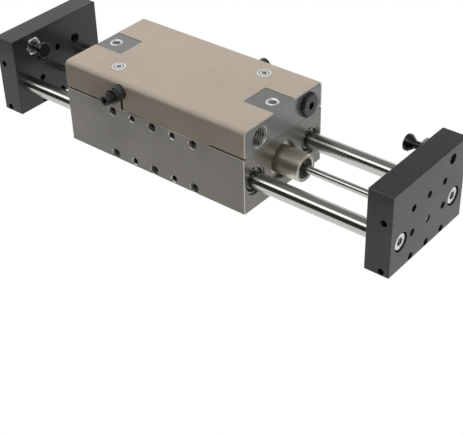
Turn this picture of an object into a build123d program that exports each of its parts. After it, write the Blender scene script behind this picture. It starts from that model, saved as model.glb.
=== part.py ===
from build123d import *
from math import cos, radians
import os

# Linear module: a guided slide unit with a pneumatic drive, two end plates and hard stops.
# The housing stands still. The carriage (two plates, two guide rods and a through-going piston rod)
# slides along X. Each plate carries a buffer whose sprung plunger meets a hexagonal stop on the housing.
# Millimetres, +Z up, +X along the rods towards the front plate. The origin is the middle of the base.

os.makedirs("parts", exist_ok=True)

# Housing
body_length = 176.0
body_width = 94.0
lower_height = 47.0
upper_height = 21.5
edge_break = 0.4
axis_height = 24.0

# Sheet cover
cover_wall = 1.5
cover_step = 0.3
cover_bend = 4.5
cover_gap = 0.2
seam_gap = 0.3
end_relief = 1.4
relief_at_fitting = 37.0
relief_away = 32.0
notch_length = 27.0
notch_width = 25.6
pad_gap = 0.2
pad_sink = 0.3
slot_width = 2.0
slot_offset = 1.0

# Upper block
cover_width = body_width - 2 * cover_step
upper_width = cover_width - 2 * cover_wall - 2 * cover_gap
upper_top = lower_height + upper_height
body_height = upper_top + cover_wall
pad_top = body_height - pad_sink
upper_fillet = cover_bend - cover_wall + cover_gap

# Guide rods in ball bushes
rod_spacing = 68.0
rod_diameter = 13.0
running_gap = 0.05
bush_diameter = 23.0
bush_length = 32.0
bush_wall = 2.6
fit_gap = 0.02
ring_depth = 1.5
ring_thickness = 1.2
ring_width = 1.6
ring_opening = 4.0
lug_angle = 70.0
lug_spread = 40.0
lug_radius = 1.9
lug_hole = 0.8
wiper_thickness = 4.0
wiper_lip = 1.2
mouth_chamfer = 0.6

# Cylinder
tube_diameter = 22.0
tube_bore = 16.0
nose_length = 20.5
tube_end_chamfer = 0.8
collar_bore = 30.0
collar_depth = 4.6
collar_thickness = 8.0
tube_ring_width = 2.2
piston_rod_diameter = 6.0
piston_rod_sink = 1.5
piston_rod_key = 2.5
piston_rod_key_depth = 2.5
gland_depth = 7.0
gland_length = 14.0
gland_seal_diameter = 11.0
gland_seal_thickness = 2.4
gland_seal_sink = 1.2
piston_length = 20.0
piston_gap = 0.1
piston_groove_width = 2.6
piston_groove_depth = 2.2
piston_groove_pitch = 12.0
seal_gap = 0.03

# End plates
plate_thickness = 20.0
plate_width = 94.0
plate_bottom = 0.5
plate_below_cover = 3.0
plate_edge = 0.5
front_gap = 103.0
rear_gap = 60.0
grid_pitch = 20.0
grid_hole = 5.6
grid_seat = 9.0
grid_holes = 3
side_hole_edge = 6.5
side_hole_depth = 12.0
side_hole = 5.2
rod_seat = 2.0
rod_end_chamfer = 1.0

# Rod screws, M8
screw_diameter = 8.0
screw_hole = 9.0
screw_head = 13.0
screw_head_height = 8.0
counterbore = 15.0
counterbore_depth = 9.0
screw_key = 6.0
screw_key_depth = 4.0
screw_in_rod = 14.0
thread_gap = 0.05
drill_allowance = 2.0

# Stops on the housing, M16, and buffers on the plates, M8
stop_offset = 28.5
stop_thread = 16.0
stop_hex = 17.0
hex_half_angle = 30.0
stop_head = 4.0
stop_head_chamfer = 0.5
stop_hole = 6.0
stop_hole_depth = 8.0
stop_shank = 32.0
stop_bore_end = 2.0
open_bore_depth = 40.0
buffer_thread = 8.0
buffer_sink = 4.0
buffer_reach = 5.5
buffer_nut_hex = 13.0
buffer_nut_height = 4.0
buffer_nut_chamfer = 0.6
buffer_wall = 0.9
buffer_bottom = 2.0
buffer_slot_width = 1.6
buffer_slot_depth = 1.5
plunger_neck = 4.6
plunger_tail = 6.0
plunger_head = 12.6
plunger_cone = 4.4
plunger_rim = 2.0
plunger_round = 0.8

# Side ports: an air fitting at the rear, a plug at the front
fitting_offset = 30.5
fitting_above_seam = 15.0
fitting_thread = 8.0
fitting_thread_depth = 5.0
fitting_collar = 11.4
fitting_collar_length = 5.0
fitting_washer = 10.6
fitting_washer_length = 0.8
fitting_body = 11.6
fitting_body_length = 5.0
fitting_port = 2.4
fitting_port_depth = 2.0
fitting_neck = 7.0
fitting_neck_length = 4.6
fitting_rib = 8.8
fitting_rib_width = 0.9
fitting_ribs = 2
fitting_sleeve = 8.6
fitting_sleeve_length = 3.0
fitting_tube_hole = 4.0
fitting_tube_depth = 9.0
fitting_hole_gap = 0.5
plug_length = 7.5
plug_key = 5.0
plug_key_depth = 3.0

# Supply ports in the top notches
port_inset = 10.5
port_diameter = 6.4
port_bush = 11.0
port_bush_height = 4.0
port_bush_proud = 0.4
port_bush_chamfer = 0.9
port_passage = 3.0
port_floor = 1.5

# Housing screws
cover_screw_inset = 40.5
cover_screw_offset = 29.0
cover_screw_thread = 6.0
cover_screw_head = 11.6
cover_screw_head_height = 2.2
cover_screw_round = 0.7
cover_screw_length = 9.0
cover_screw_key = 4.0
cover_screw_key_depth = 2.0
block_screw_position = 30.0
block_screw_offset = 18.75
block_screw_thread = 5.0
block_screw_head = 8.5
block_screw_head_height = 5.0
block_screw_sink = 6.0
block_screw_key = 4.0
block_screw_key_depth = 2.5
block_screw_in_lower = 11.0

# Mounting holes in the housing
side_pitch = 20.0
side_columns = 5
side_row_edge = 4.5
side_thread = 5.2
thread_chamfer = 0.6
seat_chamfer = 0.3
side_seat = 7.5
side_seat_depth = 1.5
base_hole_spacing = 120.0
base_hole = 5.2
base_hole_depth = 10.0

# Places worked out from the sizes
half_length = body_length / 2
port_position = half_length - port_inset
cover_screw_position = half_length - cover_screw_inset
relief_start_fitting = half_length - relief_at_fitting
relief_start_plain = half_length - relief_away
stop_height = lower_height + upper_height / 2
fitting_height = lower_height + fitting_above_seam
side_row_spacing = lower_height - 2 * side_row_edge
plate_top = body_height - plate_below_cover
half_width = body_width / 2
rod_offset = rod_spacing / 2
nose_end = half_length + nose_length
front_face = half_length + front_gap
rear_face = half_length + rear_gap
stroke_middle = (front_gap - rear_gap) / 2
bush_start = ring_depth + ring_thickness + wiper_thickness
plate_height = plate_top - plate_bottom
plate_middle = (plate_top + plate_bottom) / 2
cos_hex = cos(radians(hex_half_angle))
pad_length = notch_length - pad_gap
ends = (("front", 1, front_face), ("rear", -1, rear_face))
sides = (("left", -1), ("right", 1))


def end_plane(end, distance):
    """Plane across X at a distance from the middle; local x is Y turned with the end, local y is Z."""
    return Plane(origin=(end * distance, 0, 0), x_dir=(0, end, 0), z_dir=(end, 0, 0))


def side_plane(side, distance):
    """Plane across Y at a distance from the middle; local x is X turned with the side, local y is Z."""
    return Plane(origin=(0, side * distance, 0), x_dir=(-side, 0, 0), z_dir=(0, side, 0))


def axial_plane(end, offset, height):
    """Half-section plane of a round piece along X; local x points outwards, local y is the radius."""
    return Plane(origin=(0, end * offset, height), x_dir=(end, 0, 0), z_dir=(0, -end, 0))


def axial_axis(end, offset, height):
    """Centre line of a round piece along X."""
    return Axis((0, end * offset, height), (end, 0, 0))


def save(piece, name):
    """Labels a finished piece and writes its file."""
    piece.label = name
    export_step(piece, f"parts/{name}.step")


# Lower block: two guide bores and the cylinder bore, mounting holes below and tapped holes right across
with BuildPart() as lower_block:
    with BuildSketch(Plane.XY):
        Rectangle(body_length, body_width)
    extrude(amount=lower_height)
    chamfer(lower_block.edges().filter_by(GeomType.LINE), length=edge_break)
    with BuildSketch(Plane.YZ.offset(-half_length)):
        with Locations((-rod_offset, axis_height), (rod_offset, axis_height)):
            Circle(bush_diameter / 2)
        with Locations((0, axis_height)):
            Circle(collar_bore / 2)
    extrude(amount=body_length, mode=Mode.SUBTRACT)
    for end in (1, -1):
        mouth = lower_block.faces().sort_by(Axis.X)[-1 if end == 1 else 0]
        chamfer(mouth.edges().filter_by(GeomType.CIRCLE), length=mouth_chamfer)
        with BuildSketch(Plane.XY.offset(lower_height)):
            with Locations((end * port_position, 0)):
                Circle(port_diameter / 2)
        extrude(amount=axis_height + collar_bore / 2 + port_floor - lower_height, mode=Mode.SUBTRACT)
        with BuildSketch(Plane.XY.offset(lower_height)):
            with Locations((end * port_position, 0)):
                Circle(port_passage / 2)
        extrude(amount=axis_height - lower_height, mode=Mode.SUBTRACT)
    with BuildSketch(side_plane(1, half_width)):
        with Locations((0, lower_height / 2)):
            with GridLocations(side_pitch, side_row_spacing, side_columns, 2):
                Circle(side_thread / 2)
    extrude(amount=-body_width, mode=Mode.SUBTRACT)
    for side in (1, -1):
        with BuildSketch(side_plane(side, half_width)):
            with Locations((0, lower_height / 2)):
                with GridLocations(2 * side_pitch, side_row_spacing, (side_columns + 1) // 2, 2):
                    Circle(side_seat / 2)
        extrude(amount=-side_seat_depth, mode=Mode.SUBTRACT)
        side_face = lower_block.faces().sort_by(Axis.Y)[-1 if side == 1 else 0]
        mouths = side_face.edges().filter_by(GeomType.CIRCLE).group_by(SortBy.RADIUS)
        chamfer(mouths[0], length=thread_chamfer)
        chamfer(mouths[-1], length=seat_chamfer)
    with BuildSketch(Plane.XY):
        with GridLocations(base_hole_spacing, 2 * block_screw_offset, 2, 2):
            Circle(base_hole / 2)
    extrude(amount=base_hole_depth, mode=Mode.SUBTRACT)
    with BuildSketch(Plane.XY.offset(lower_height)):
        with GridLocations(2 * block_screw_position, 2 * block_screw_offset, 2, 2):
            Circle(block_screw_thread / 2 + thread_gap)
    extrude(amount=-block_screw_in_lower - drill_allowance, mode=Mode.SUBTRACT)
save(lower_block.part, "lower_block")

# Upper block: pads that fill the notches, stop bores in the ends, air ports on top, ports in the sides
with BuildPart() as upper_block:
    with BuildSketch(Plane.XY.offset(lower_height)):
        Rectangle(body_length, upper_width)
    extrude(amount=upper_top - lower_height)
    top_edges = upper_block.faces().sort_by(Axis.Z)[-1].edges().filter_by(Axis.X)
    fillet(top_edges, radius=upper_fillet)
    for end in (1, -1):
        with BuildSketch(Plane.XY.offset(upper_top)):
            with Locations((end * (half_length - pad_length / 2), 0)):
                Rectangle(pad_length, notch_width - 2 * pad_gap)
        extrude(amount=pad_top - upper_top)
        with BuildSketch(end_plane(end, half_length)):
            with Locations((stop_offset, stop_height)):
                Circle(stop_thread / 2)
        extrude(amount=-stop_shank - stop_bore_end, mode=Mode.SUBTRACT)
        with BuildSketch(end_plane(end, half_length)):
            with Locations((-stop_offset, stop_height)):
                Circle(stop_thread / 2)
        extrude(amount=-open_bore_depth, mode=Mode.SUBTRACT)
        mouth = upper_block.faces().filter_by(Axis.X).sort_by(Axis.X)[-1 if end == 1 else 0]
        chamfer(mouth.edges().filter_by(GeomType.CIRCLE), length=mouth_chamfer)
        with BuildSketch(Plane.XY.offset(pad_top)):
            with Locations((end * port_position, 0)):
                Circle(port_diameter / 2)
        extrude(amount=lower_height - pad_top, mode=Mode.SUBTRACT)
        with BuildSketch(Plane.XY.offset(pad_top)):
            with Locations((end * port_position, 0)):
                Circle(port_bush / 2 + fit_gap)
        extrude(amount=port_bush_proud - port_bush_height, mode=Mode.SUBTRACT)
        with BuildSketch(Plane.XY.offset(upper_top)):
            with Locations((end * cover_screw_position, end * cover_screw_offset)):
                Circle(cover_screw_thread / 2 + thread_gap)
        extrude(amount=cover_wall - cover_screw_length - drill_allowance, mode=Mode.SUBTRACT)
        with BuildSketch(side_plane(end, upper_width / 2)):
            with Locations((-fitting_offset, fitting_height)):
                Circle(fitting_thread / 2 + thread_gap)
        extrude(amount=-fitting_thread_depth - fit_gap, mode=Mode.SUBTRACT)
    with BuildSketch(Plane.XY.offset(upper_top)):
        with GridLocations(2 * block_screw_position, 2 * block_screw_offset, 2, 2):
            Circle(block_screw_thread / 2 + thread_gap)
    extrude(amount=lower_height - upper_top, mode=Mode.SUBTRACT)
    with BuildSketch(Plane.XY.offset(upper_top)):
        with GridLocations(2 * block_screw_position, 2 * block_screw_offset, 2, 2):
            Circle(block_screw_head / 2 + cover_gap)
    extrude(amount=-block_screw_sink, mode=Mode.SUBTRACT)
save(upper_block.part, "upper_block")

# Cover: one bent sheet over the upper block, open at both ends
with BuildPart() as cover:
    with BuildSketch(Plane.YZ.offset(-half_length)):
        with Locations((0, body_height)):
            Rectangle(cover_width, body_height - lower_height - seam_gap, align=(Align.CENTER, Align.MAX))
    extrude(amount=body_length)
    bends = cover.faces().sort_by(Axis.Z)[-1].edges().filter_by(Axis.X)
    fillet(bends, radius=cover_bend)
    ends_and_bottom = cover.faces().filter_by(Axis.X) + cover.faces().sort_by(Axis.Z)[0:1]
    offset(amount=-cover_wall, openings=ends_and_bottom)
    for end in (1, -1):
        with BuildSketch(Plane.XY.offset(body_height)):
            with Locations((end * half_length, 0)):
                Rectangle(2 * notch_length, notch_width)
            with Locations((end * cover_screw_position, end * cover_screw_offset)):
                Circle(cover_screw_head / 2 + cover_gap)
        extrude(amount=-cover_wall, mode=Mode.SUBTRACT)
        with BuildSketch(side_plane(end, half_width)):
            with Locations((-relief_start_fitting, lower_height)):
                Rectangle(body_length, 2 * end_relief, align=(Align.MAX, Align.CENTER))
            with Locations((relief_start_plain, lower_height)):
                Rectangle(body_length, 2 * end_relief, align=(Align.MIN, Align.CENTER))
            with Locations((-fitting_offset, fitting_height)):
                Circle(fitting_collar / 2 + fitting_hole_gap)
            with Locations((-fitting_offset + slot_offset, lower_height)):
                Rectangle(slot_width, fitting_height - lower_height, align=(Align.CENTER, Align.MIN))
        extrude(amount=-cover_bend - cover_wall, mode=Mode.SUBTRACT)
save(cover.part, "cover")

# Cover screws, seated on the upper block through holes in the sheet
for end_name, end, plate_face in ends:
    with BuildPart() as cover_screw:
        with BuildSketch(Plane.XY.offset(upper_top)):
            with Locations((end * cover_screw_position, end * cover_screw_offset)):
                Circle(cover_screw_head / 2)
        extrude(amount=cover_screw_head_height)
        rim = cover_screw.faces().sort_by(Axis.Z)[-1].edges()
        fillet(rim, radius=cover_screw_round)
        with BuildSketch(Plane.XY.offset(upper_top)):
            with Locations((end * cover_screw_position, end * cover_screw_offset)):
                Circle(cover_screw_thread / 2)
        extrude(amount=cover_wall - cover_screw_length)
        with BuildSketch(Plane.XY.offset(upper_top + cover_screw_head_height)):
            with Locations((end * cover_screw_position, end * cover_screw_offset)):
                RegularPolygon(cover_screw_key / 2, 6, major_radius=False)
        extrude(amount=-cover_screw_key_depth, mode=Mode.SUBTRACT)
    save(cover_screw.part, f"cover_screw_{end_name}")

# Screws that hold the two blocks together, under the cover
with BuildPart() as block_screws:
    with BuildSketch(Plane.XY.offset(upper_top - block_screw_sink)):
        with GridLocations(2 * block_screw_position, 2 * block_screw_offset, 2, 2):
            Circle(block_screw_head / 2)
    extrude(amount=block_screw_head_height)
    with BuildSketch(Plane.XY.offset(upper_top - block_screw_sink)):
        with GridLocations(2 * block_screw_position, 2 * block_screw_offset, 2, 2):
            Circle(block_screw_thread / 2)
    extrude(amount=lower_height - block_screw_in_lower - upper_top + block_screw_sink)
    with BuildSketch(Plane.XY.offset(upper_top - block_screw_sink + block_screw_head_height)):
        with GridLocations(2 * block_screw_position, 2 * block_screw_offset, 2, 2):
            RegularPolygon(block_screw_key / 2, 6, major_radius=False)
    extrude(amount=-block_screw_key_depth, mode=Mode.SUBTRACT)
save(block_screws.part, "block_screws")


def retaining_ring(end, offset, depth, diameter, width):
    """Internal snap ring in a bore of the housing's end face: an open ring with two drilled lugs."""
    ring_radius = diameter / 2 - fit_gap
    with BuildPart() as ring:
        with BuildSketch(end_plane(end, half_length - depth)):
            with Locations((offset, axis_height)):
                Circle(ring_radius)
                Circle(ring_radius - width, mode=Mode.SUBTRACT)
            with Locations((offset, axis_height + ring_radius)):
                Rectangle(ring_opening, ring_radius, mode=Mode.SUBTRACT)
            with Locations((offset, axis_height)):
                with PolarLocations(ring_radius - lug_radius, 2, lug_angle, lug_spread, endpoint=True):
                    Circle(lug_radius)
                    Circle(lug_hole, mode=Mode.SUBTRACT)
        extrude(amount=-ring_thickness)
    return ring.part


# Ball bushes, wipers and snap rings of the guide rods
for end_name, end, plate_face in ends:
    for side_name, side in sides:
        offset_here = end * side * rod_offset
        with BuildPart() as bush:
            with BuildSketch(end_plane(end, half_length - bush_start)):
                with Locations((offset_here, axis_height)):
                    Circle(bush_diameter / 2 - fit_gap)
                    Circle(bush_diameter / 2 - bush_wall, mode=Mode.SUBTRACT)
            extrude(amount=-bush_length)
            rims = bush.edges().filter_by(GeomType.CIRCLE).sort_by(SortBy.RADIUS)[-2:]
            chamfer(rims, length=edge_break)
        save(bush.part, f"bush_{end_name}_{side_name}")

        with BuildPart() as cage:
            with BuildSketch(end_plane(end, half_length - bush_start)):
                with Locations((offset_here, axis_height)):
                    Circle(bush_diameter / 2 - bush_wall)
                    Circle(rod_diameter / 2 + running_gap, mode=Mode.SUBTRACT)
            extrude(amount=-bush_length)
        save(cage.part, f"ball_cage_{end_name}_{side_name}")

        with BuildPart() as wiper:
            with BuildSketch(axial_plane(end, offset_here, axis_height)):
                start = half_length - bush_start
                lip = rod_diameter / 2 + running_gap
                outer = bush_diameter / 2 - fit_gap
                with BuildLine():
                    Polyline(
                        (start, lip),
                        (start, outer),
                        (start + wiper_thickness, outer),
                        (start + wiper_thickness, outer - ring_width),
                        (start + wiper_thickness / 2, (outer + lip) / 2),
                        (start + wiper_thickness, lip + wiper_lip),
                        (start + wiper_thickness, lip),
                        close=True,
                    )
                make_face()
            revolve(axis=axial_axis(end, offset_here, axis_height))
        save(wiper.part, f"wiper_{end_name}_{side_name}")

        ring = retaining_ring(end, offset_here, ring_depth, bush_diameter, ring_width)
        save(ring, f"snap_ring_{end_name}_{side_name}")

# Cylinder tube, open at both ends
with BuildPart() as cylinder_tube:
    with BuildSketch(Plane.YZ.offset(-nose_end)):
        with Locations((0, axis_height)):
            Circle(tube_diameter / 2)
            Circle(tube_bore / 2, mode=Mode.SUBTRACT)
    extrude(amount=2 * nose_end)
    chamfer(cylinder_tube.edges().filter_by(GeomType.CIRCLE), length=tube_end_chamfer)
    with BuildSketch(Plane.XY.offset(axis_height)):
        with Locations((-port_position, 0), (port_position, 0)):
            Circle(port_passage / 2)
    extrude(amount=tube_diameter / 2, mode=Mode.SUBTRACT)
save(cylinder_tube.part, "cylinder_tube")

# Collars that centre the tube in the housing, the rod glands and their seals
for end_name, end, plate_face in ends:
    with BuildPart() as tube_collar:
        with BuildSketch(end_plane(end, half_length - collar_depth)):
            with Locations((0, axis_height)):
                Circle(collar_bore / 2 - fit_gap)
                Circle(tube_diameter / 2 + fit_gap, mode=Mode.SUBTRACT)
        extrude(amount=-collar_thickness)
        rims = tube_collar.edges().filter_by(GeomType.CIRCLE).sort_by(SortBy.RADIUS)[-2:]
        chamfer(rims, length=edge_break)
        with BuildSketch(Plane.XY.offset(axis_height)):
            with Locations((end * port_position, 0)):
                Circle(port_passage / 2)
        extrude(amount=collar_bore / 2, mode=Mode.SUBTRACT)
    save(tube_collar.part, f"tube_collar_{end_name}")

    ring = retaining_ring(end, 0, collar_depth - ring_thickness, collar_bore, tube_ring_width)
    save(ring, f"tube_snap_ring_{end_name}")

    with BuildPart() as gland:
        with BuildSketch(end_plane(end, nose_end - gland_depth)):
            with Locations((0, axis_height)):
                Circle(tube_bore / 2 - fit_gap)
                Circle(piston_rod_diameter / 2 + running_gap, mode=Mode.SUBTRACT)
        extrude(amount=-gland_length)
        with BuildSketch(end_plane(end, nose_end - gland_depth)):
            with Locations((0, axis_height)):
                Circle(gland_seal_diameter / 2)
        extrude(amount=-gland_seal_sink, mode=Mode.SUBTRACT)
    save(gland.part, f"rod_gland_{end_name}")

    with BuildPart() as rod_seal:
        with BuildSketch(end_plane(end, nose_end - gland_depth - gland_seal_sink)):
            with Locations((0, axis_height)):
                Circle(gland_seal_diameter / 2 - fit_gap)
                Circle(piston_rod_diameter / 2 + running_gap, mode=Mode.SUBTRACT)
        extrude(amount=gland_seal_thickness)
        rims = rod_seal.faces().sort_by(Axis.X)[-1 if end == 1 else 0].edges()
        chamfer(rims, length=edge_break)
    save(rod_seal.part, f"rod_seal_{end_name}")

# Stops: hexagonal heads screwed into the upper block, struck by the buffers
for end_name, end, plate_face in ends:
    with BuildPart() as stop:
        with BuildSketch(end_plane(end, half_length)):
            with Locations((stop_offset, stop_height)):
                RegularPolygon(stop_hex / 2, 6, major_radius=False)
        extrude(amount=stop_head)
        corner_cut = stop_hex / 2 / cos_hex
        with BuildSketch(axial_plane(end, stop_offset, stop_height)):
            with BuildLine():
                Polyline(
                    (half_length + stop_head - stop_head_chamfer, corner_cut),
                    (half_length + stop_head, stop_hex / 2 - edge_break),
                    (half_length + stop_head, corner_cut),
                    close=True,
                )
            make_face()
        revolve(axis=axial_axis(end, stop_offset, stop_height), mode=Mode.SUBTRACT)
        with BuildSketch(end_plane(end, half_length)):
            with Locations((stop_offset, stop_height)):
                Circle(stop_thread / 2 - thread_gap)
        extrude(amount=-stop_shank)
        with BuildSketch(end_plane(end, half_length + stop_head)):
            with Locations((stop_offset, stop_height)):
                Circle(stop_hole / 2)
        extrude(amount=-stop_hole_depth, mode=Mode.SUBTRACT)
    save(stop.part, f"stop_{end_name}")

# Ring bushes of the supply ports
for end_name, end, plate_face in ends:
    with BuildPart() as port_ring:
        with BuildSketch(Plane.XY.offset(pad_top + port_bush_proud)):
            with Locations((end * port_position, 0)):
                Circle(port_bush / 2)
                Circle(port_diameter / 2, mode=Mode.SUBTRACT)
        extrude(amount=-port_bush_height)
        rims = port_ring.faces().sort_by(Axis.Z)[-1].edges()
        chamfer(rims, length=port_bush_chamfer)
    save(port_ring.part, f"port_ring_{end_name}")

# Air fitting in the rear side port: threaded body, washer, ribbed neck and release sleeve
for end_name, end, plate_face in ends[1:]:
    seat = upper_width / 2
    washer_start = seat + fitting_collar_length
    body_start = washer_start + fitting_washer_length
    neck_start = body_start + fitting_body_length
    sleeve_start = neck_start + fitting_neck_length
    with BuildPart() as fitting:
        with BuildSketch(side_plane(end, seat)):
            with Locations((-fitting_offset, fitting_height)):
                Circle(fitting_thread / 2)
        extrude(amount=-fitting_thread_depth)
        with BuildSketch(side_plane(end, seat)):
            with Locations((-fitting_offset, fitting_height)):
                Circle(fitting_collar / 2)
        extrude(amount=fitting_collar_length)
        with BuildSketch(side_plane(end, washer_start)):
            with Locations((-fitting_offset, fitting_height)):
                Circle(fitting_neck / 2)
        extrude(amount=fitting_washer_length)
        with BuildSketch(side_plane(end, body_start)):
            with Locations((-fitting_offset, fitting_height)):
                Circle(fitting_body / 2)
        extrude(amount=fitting_body_length)
        with BuildSketch(side_plane(end, neck_start)):
            with Locations((-fitting_offset, fitting_height)):
                Circle(fitting_neck / 2)
        extrude(amount=fitting_neck_length)
        for rib in range(fitting_ribs):
            rib_start = neck_start + (rib + 1) * fitting_neck_length / (fitting_ribs + 1)
            with BuildSketch(side_plane(end, rib_start - fitting_rib_width / 2)):
                with Locations((-fitting_offset, fitting_height)):
                    Circle(fitting_rib / 2)
            extrude(amount=fitting_rib_width)
        with BuildSketch(side_plane(end, sleeve_start)):
            with Locations((-fitting_offset, fitting_height)):
                Circle(fitting_tube_hole / 2)
        extrude(amount=fitting_sleeve_length - fitting_tube_depth, mode=Mode.SUBTRACT)
        body_middle = body_start + fitting_body_length / 2
        port_top = fitting_height + fitting_body / 2
        with BuildSketch(Plane.XY.offset(port_top)):
            with Locations((end * fitting_offset, end * body_middle)):
                Circle(fitting_port / 2)
        extrude(amount=-fitting_port_depth, mode=Mode.SUBTRACT)
    save(fitting.part, f"fitting_body_{end_name}")

    with BuildPart() as washer:
        with BuildSketch(side_plane(end, washer_start)):
            with Locations((-fitting_offset, fitting_height)):
                Circle(fitting_washer / 2)
                Circle(fitting_neck / 2, mode=Mode.SUBTRACT)
        extrude(amount=fitting_washer_length)
    save(washer.part, f"fitting_washer_{end_name}")

    with BuildPart() as sleeve:
        with BuildSketch(side_plane(end, sleeve_start)):
            with Locations((-fitting_offset, fitting_height)):
                Circle(fitting_sleeve / 2)
                Circle(fitting_tube_hole / 2, mode=Mode.SUBTRACT)
        extrude(amount=fitting_sleeve_length)
        rims = sleeve.edges().filter_by(GeomType.CIRCLE).sort_by(SortBy.RADIUS)[-2:]
        chamfer(rims, length=edge_break)
    save(sleeve.part, f"fitting_sleeve_{end_name}")

# Plug in the front side port, with a hexagon socket
for end_name, end, plate_face in ends[:1]:
    seat = upper_width / 2
    with BuildPart() as plug:
        with BuildSketch(side_plane(end, seat)):
            with Locations((-fitting_offset, fitting_height)):
                Circle(fitting_thread / 2)
        extrude(amount=-fitting_thread_depth)
        with BuildSketch(side_plane(end, seat)):
            with Locations((-fitting_offset, fitting_height)):
                Circle(fitting_collar / 2)
        extrude(amount=plug_length)
        outer_rim = plug.faces().sort_by(Axis.Y)[-1].edges()
        chamfer(outer_rim, length=edge_break)
        with BuildSketch(side_plane(end, seat + plug_length)):
            with Locations((-fitting_offset, fitting_height)):
                RegularPolygon(plug_key / 2, 6, major_radius=False)
        extrude(amount=-plug_key_depth, mode=Mode.SUBTRACT)
    save(plug.part, f"fitting_plug_{end_name}")

# End plates: nine-hole grid, rod seats, screw counterbores, side threads and the buffer thread
for end_name, end, plate_face in ends:
    with BuildPart() as plate:
        with BuildSketch(end_plane(end, plate_face)):
            with Locations((0, plate_middle)):
                Rectangle(plate_width, plate_height)
        extrude(amount=plate_thickness)
        chamfer(plate.edges(), length=plate_edge)
        with BuildSketch(end_plane(end, plate_face)):
            with Locations((0, axis_height)):
                with GridLocations(grid_pitch, grid_pitch, grid_holes, grid_holes):
                    Circle(grid_hole / 2)
            with Locations((-rod_offset, axis_height), (rod_offset, axis_height)):
                Circle(screw_hole / 2)
            with Locations((stop_offset, stop_height)):
                Circle(buffer_thread / 2 + thread_gap)
            with Locations((0, axis_height)):
                Circle(piston_rod_diameter / 2 + fit_gap)
        extrude(amount=plate_thickness, mode=Mode.SUBTRACT)
        with BuildSketch(end_plane(end, plate_face)):
            with Locations((-rod_offset, axis_height), (rod_offset, axis_height)):
                Circle(rod_diameter / 2 + fit_gap)
            with Locations((-grid_pitch, axis_height + grid_pitch)):
                Circle(grid_seat / 2)
        extrude(amount=rod_seat, mode=Mode.SUBTRACT)
        with BuildSketch(end_plane(end, plate_face + plate_thickness)):
            with Locations((-rod_offset, axis_height), (rod_offset, axis_height)):
                Circle(counterbore / 2)
        extrude(amount=-counterbore_depth, mode=Mode.SUBTRACT)
        for side in (1, -1):
            with BuildSketch(side_plane(side, plate_width / 2)):
                place = -side * end * (plate_face + plate_thickness - side_hole_edge)
                with Locations((place, axis_height - grid_pitch), (place, axis_height + grid_pitch)):
                    Circle(side_hole / 2)
            extrude(amount=-side_hole_depth, mode=Mode.SUBTRACT)
    save(plate.part, f"{end_name}_plate")

    outer_face = plate_face + plate_thickness
    with BuildPart() as rod_screws:
        with BuildSketch(end_plane(end, outer_face - counterbore_depth)):
            with Locations((-rod_offset, axis_height), (rod_offset, axis_height)):
                Circle(screw_head / 2)
        extrude(amount=screw_head_height)
        chamfer(rod_screws.edges(), length=edge_break)
        with BuildSketch(end_plane(end, outer_face - counterbore_depth)):
            with Locations((-rod_offset, axis_height), (rod_offset, axis_height)):
                Circle(screw_diameter / 2)
        extrude(amount=rod_seat - screw_in_rod - plate_thickness + counterbore_depth)
        with BuildSketch(end_plane(end, outer_face - counterbore_depth + screw_head_height)):
            with Locations((-rod_offset, axis_height), (rod_offset, axis_height)):
                RegularPolygon(screw_key / 2, 6, major_radius=False)
        extrude(amount=-screw_key_depth, mode=Mode.SUBTRACT)
    save(rod_screws.part, f"rod_screws_{end_name}")

# Guide rods, drilled at both ends for the rod screws
for side_name, side in sides:
    rear_end = -rear_face - rod_seat
    rod_length = front_face + rear_face + 2 * rod_seat
    with BuildPart() as guide_rod:
        with BuildSketch(Plane.YZ.offset(rear_end)):
            with Locations((side * rod_offset, axis_height)):
                Circle(rod_diameter / 2)
        extrude(amount=rod_length)
        chamfer(guide_rod.edges().filter_by(GeomType.CIRCLE), length=rod_end_chamfer)
        for hole_plane in (Plane.YZ.offset(rear_end), Plane.YZ.offset(rear_end + rod_length)):
            depth = screw_in_rod + drill_allowance
            with BuildSketch(hole_plane):
                with Locations((side * rod_offset, axis_height)):
                    Circle(screw_diameter / 2 + thread_gap)
            inwards = depth if hole_plane.origin.X < 0 else -depth
            extrude(amount=inwards, mode=Mode.SUBTRACT)
    save(guide_rod.part, f"guide_rod_{side_name}")

# Piston rod through both plates, with a key socket in each end
with BuildPart() as piston_rod:
    rod_start = -rear_face - plate_thickness + piston_rod_sink
    rod_stop = front_face + plate_thickness - piston_rod_sink
    with BuildSketch(Plane.YZ.offset(rod_start)):
        with Locations((0, axis_height)):
            Circle(piston_rod_diameter / 2)
    extrude(amount=rod_stop - rod_start)
    chamfer(piston_rod.edges(), length=edge_break)
    with BuildSketch(Plane.YZ.offset(rod_start)):
        with Locations((0, axis_height)):
            RegularPolygon(piston_rod_key / 2, 6, major_radius=False)
    extrude(amount=piston_rod_key_depth, mode=Mode.SUBTRACT)
    with BuildSketch(Plane.YZ.offset(rod_stop)):
        with Locations((0, axis_height)):
            RegularPolygon(piston_rod_key / 2, 6, major_radius=False)
    extrude(amount=-piston_rod_key_depth, mode=Mode.SUBTRACT)
save(piston_rod.part, "piston_rod")

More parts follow.
